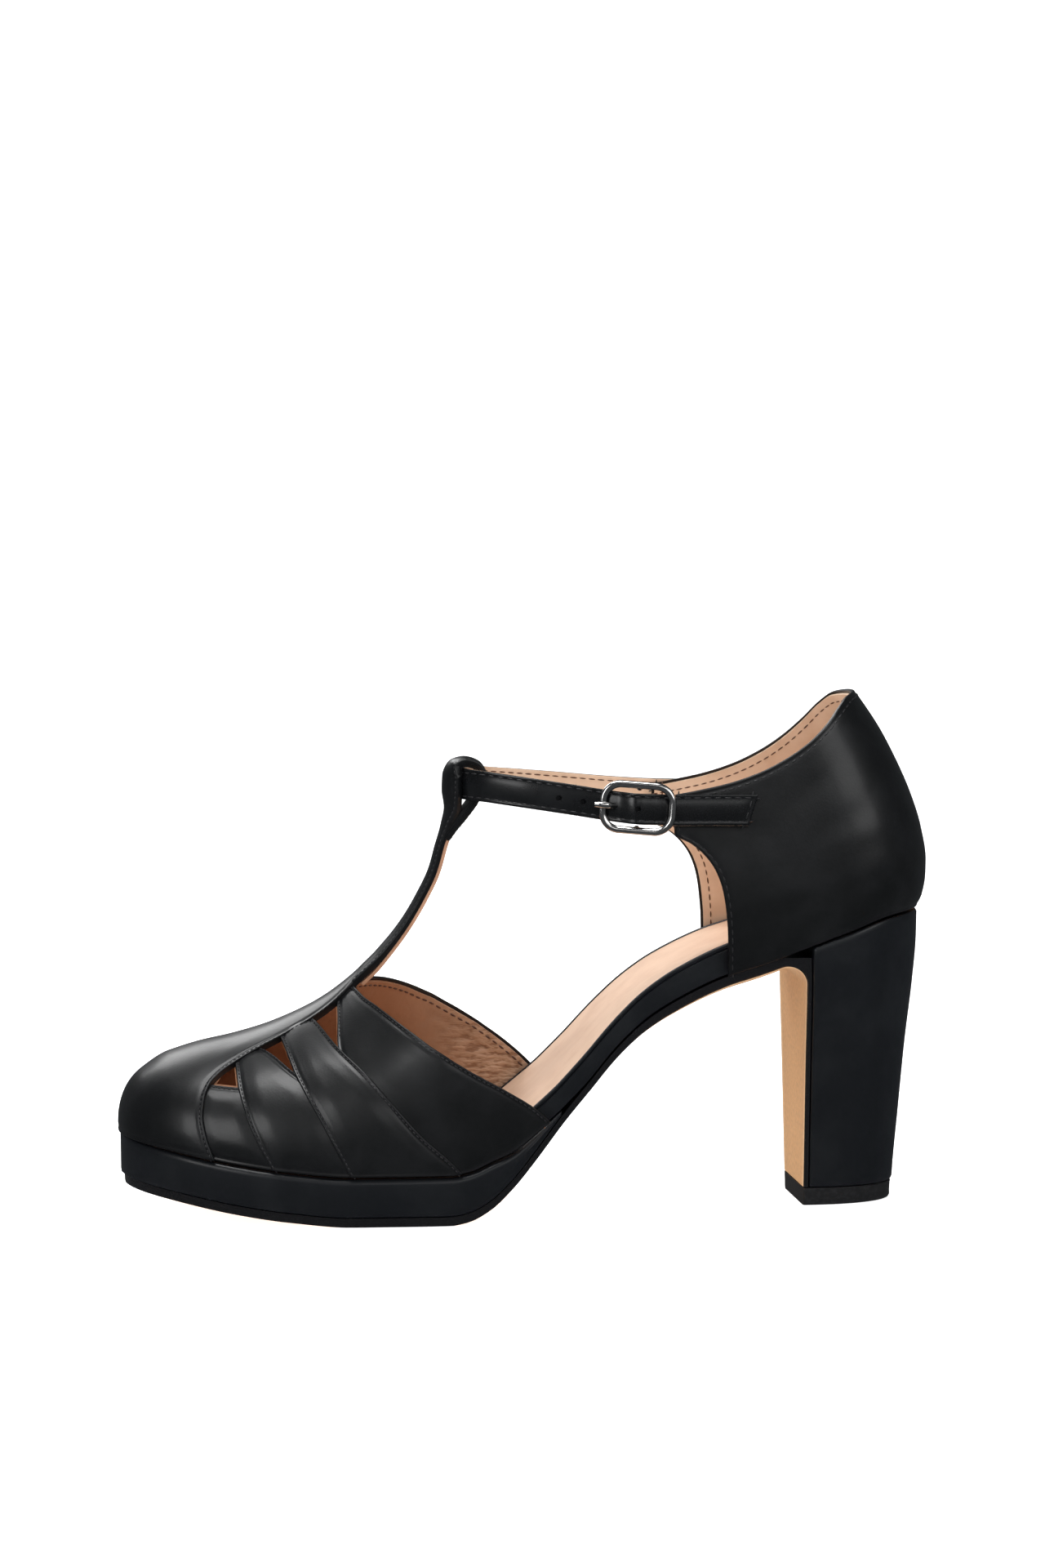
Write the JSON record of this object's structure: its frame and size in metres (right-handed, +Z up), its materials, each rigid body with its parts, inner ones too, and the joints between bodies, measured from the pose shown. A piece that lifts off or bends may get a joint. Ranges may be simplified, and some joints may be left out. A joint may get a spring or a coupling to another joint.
{
  "type": "t-strap shoe",
  "caption": "Left T-strap shoe on a block heel with a low platform, cut-out vamp, closed heel counter and a buckled ankle strap.",
  "frame": {"origin": "middle of the shoe's box in plan, on the floor it stands on", "axes": "+X from toe to heel, +Y towards the inner side of the foot, +Z up"},
  "size_m": [0.2288, 0.0792, 0.1443],
  "materials": {
    "black_leather": "smooth semi-gloss with fine grain",
    "black_edge": "polished black edge over a tan underside",
    "beige_sock": "soft matt",
    "black_rubber": "matt",
    "polished_steel": "polished"
  },
  "bodies": {
    "root": {"vamp": "black_leather", "quarter": "black_leather", "ankle_strap": "black_leather", "buckle_tab": "black_leather", "platform": "black_leather", "insole_board": "black_leather", "heel": "black_leather", "outsole": "black_edge", "sock_lining": "beige_sock", "top_piece": "black_rubber", "buckle_frame": "polished_steel", "buckle_prong": "polished_steel"}
  },
  "joints": []
}
